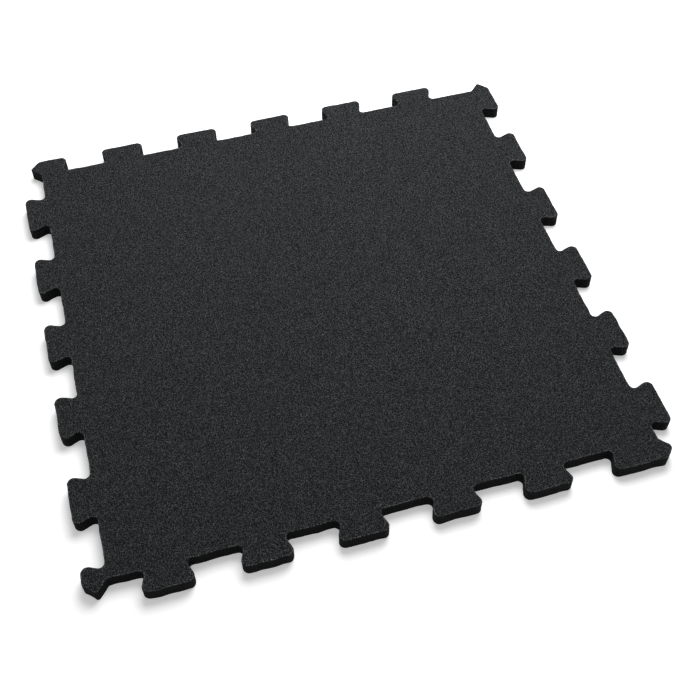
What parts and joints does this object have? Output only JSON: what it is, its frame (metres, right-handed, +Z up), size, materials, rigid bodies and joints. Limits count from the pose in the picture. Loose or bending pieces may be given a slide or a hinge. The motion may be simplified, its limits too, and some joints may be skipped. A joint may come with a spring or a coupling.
{
  "type": "interlocking rubber floor tile",
  "caption": "Square black rubber-crumb floor tile with dovetail tabs and gaps along every side that lock into the tiles beside it.",
  "frame": {"origin": "under the middle of the tile, on the plane of its underside", "axes": "+Z up through the thickness, +X to the right and +Y away along the tile's sides"},
  "size_m": [0.634, 0.634, 0.0159],
  "materials": {
    "rubber": "matt, fine granular"
  },
  "bodies": {
    "root": {"rubber_tile": "rubber"}
  },
  "joints": []
}
